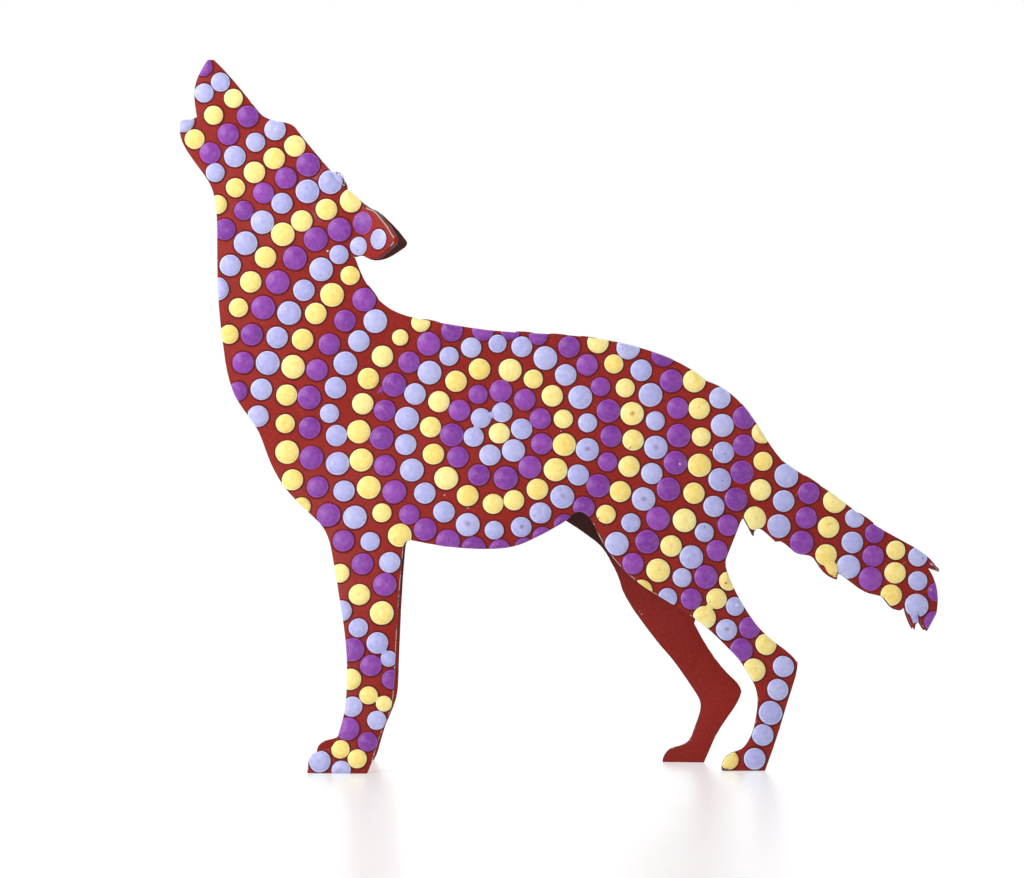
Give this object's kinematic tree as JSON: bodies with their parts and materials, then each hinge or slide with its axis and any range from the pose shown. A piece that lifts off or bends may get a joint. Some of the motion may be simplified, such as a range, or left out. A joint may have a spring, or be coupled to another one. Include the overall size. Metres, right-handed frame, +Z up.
{
  "type": "howling coyote figure",
  "caption": "Howling coyote figure: two steel profile plates joined along the back and spread into four legs, closely covered with raised dots of paint set in rings.",
  "frame": {"origin": "on the ground, under the middle of the figure's length, in the seam plane between the two plates", "axes": "+X from the snout towards the tail, +Z up, -Y out of the near plate's painted face"},
  "size_m": [0.1822, 0.0453, 0.1695],
  "materials": {
    "red_paint": "satin",
    "yellow_dabs": "satin",
    "blue_dabs": "satin",
    "purple_dabs": "satin"
  },
  "bodies": {
    "root": {"far_chest_blue": "blue_dabs", "far_chest_purple": "purple_dabs", "far_chest_yellow": "yellow_dabs", "far_flank_blue": "blue_dabs", "far_flank_purple": "purple_dabs", "far_flank_yellow": "yellow_dabs", "far_foreleg_blue": "blue_dabs", "far_foreleg_purple": "purple_dabs", "far_foreleg_yellow": "yellow_dabs", "far_haunch_blue": "blue_dabs", "far_haunch_purple": "purple_dabs", "far_haunch_yellow": "yellow_dabs", "far_head_blue": "blue_dabs", "far_head_purple": "purple_dabs", "far_head_yellow": "yellow_dabs", "far_hindleg_blue": "blue_dabs", "far_hindleg_purple": "purple_dabs", "far_hindleg_yellow": "yellow_dabs", "far_neck_blue": "blue_dabs", "far_neck_purple": "purple_dabs", "far_neck_yellow": "yellow_dabs", "far_plate": "red_paint", "far_tail_blue": "blue_dabs", "far_tail_purple": "purple_dabs", "far_tail_yellow": "yellow_dabs", "near_chest_blue": "blue_dabs", "near_chest_purple": "purple_dabs", "near_chest_yellow": "yellow_dabs", "near_flank_blue": "blue_dabs", "near_flank_purple": "purple_dabs", "near_flank_yellow": "yellow_dabs", "near_foreleg_blue": "blue_dabs", "near_foreleg_purple": "purple_dabs", "near_foreleg_yellow": "yellow_dabs", "near_haunch_blue": "blue_dabs", "near_haunch_purple": "purple_dabs", "near_haunch_yellow": "yellow_dabs", "near_head_blue": "blue_dabs", "near_head_purple": "purple_dabs", "near_head_yellow": "yellow_dabs", "near_hindleg_blue": "blue_dabs", "near_hindleg_purple": "purple_dabs", "near_hindleg_yellow": "yellow_dabs", "near_neck_blue": "blue_dabs", "near_neck_purple": "purple_dabs", "near_neck_yellow": "yellow_dabs", "near_plate": "red_paint", "near_tail_blue": "blue_dabs", "near_tail_purple": "purple_dabs", "near_tail_yellow": "yellow_dabs", "tack_welds": "red_paint"}
  },
  "joints": []
}
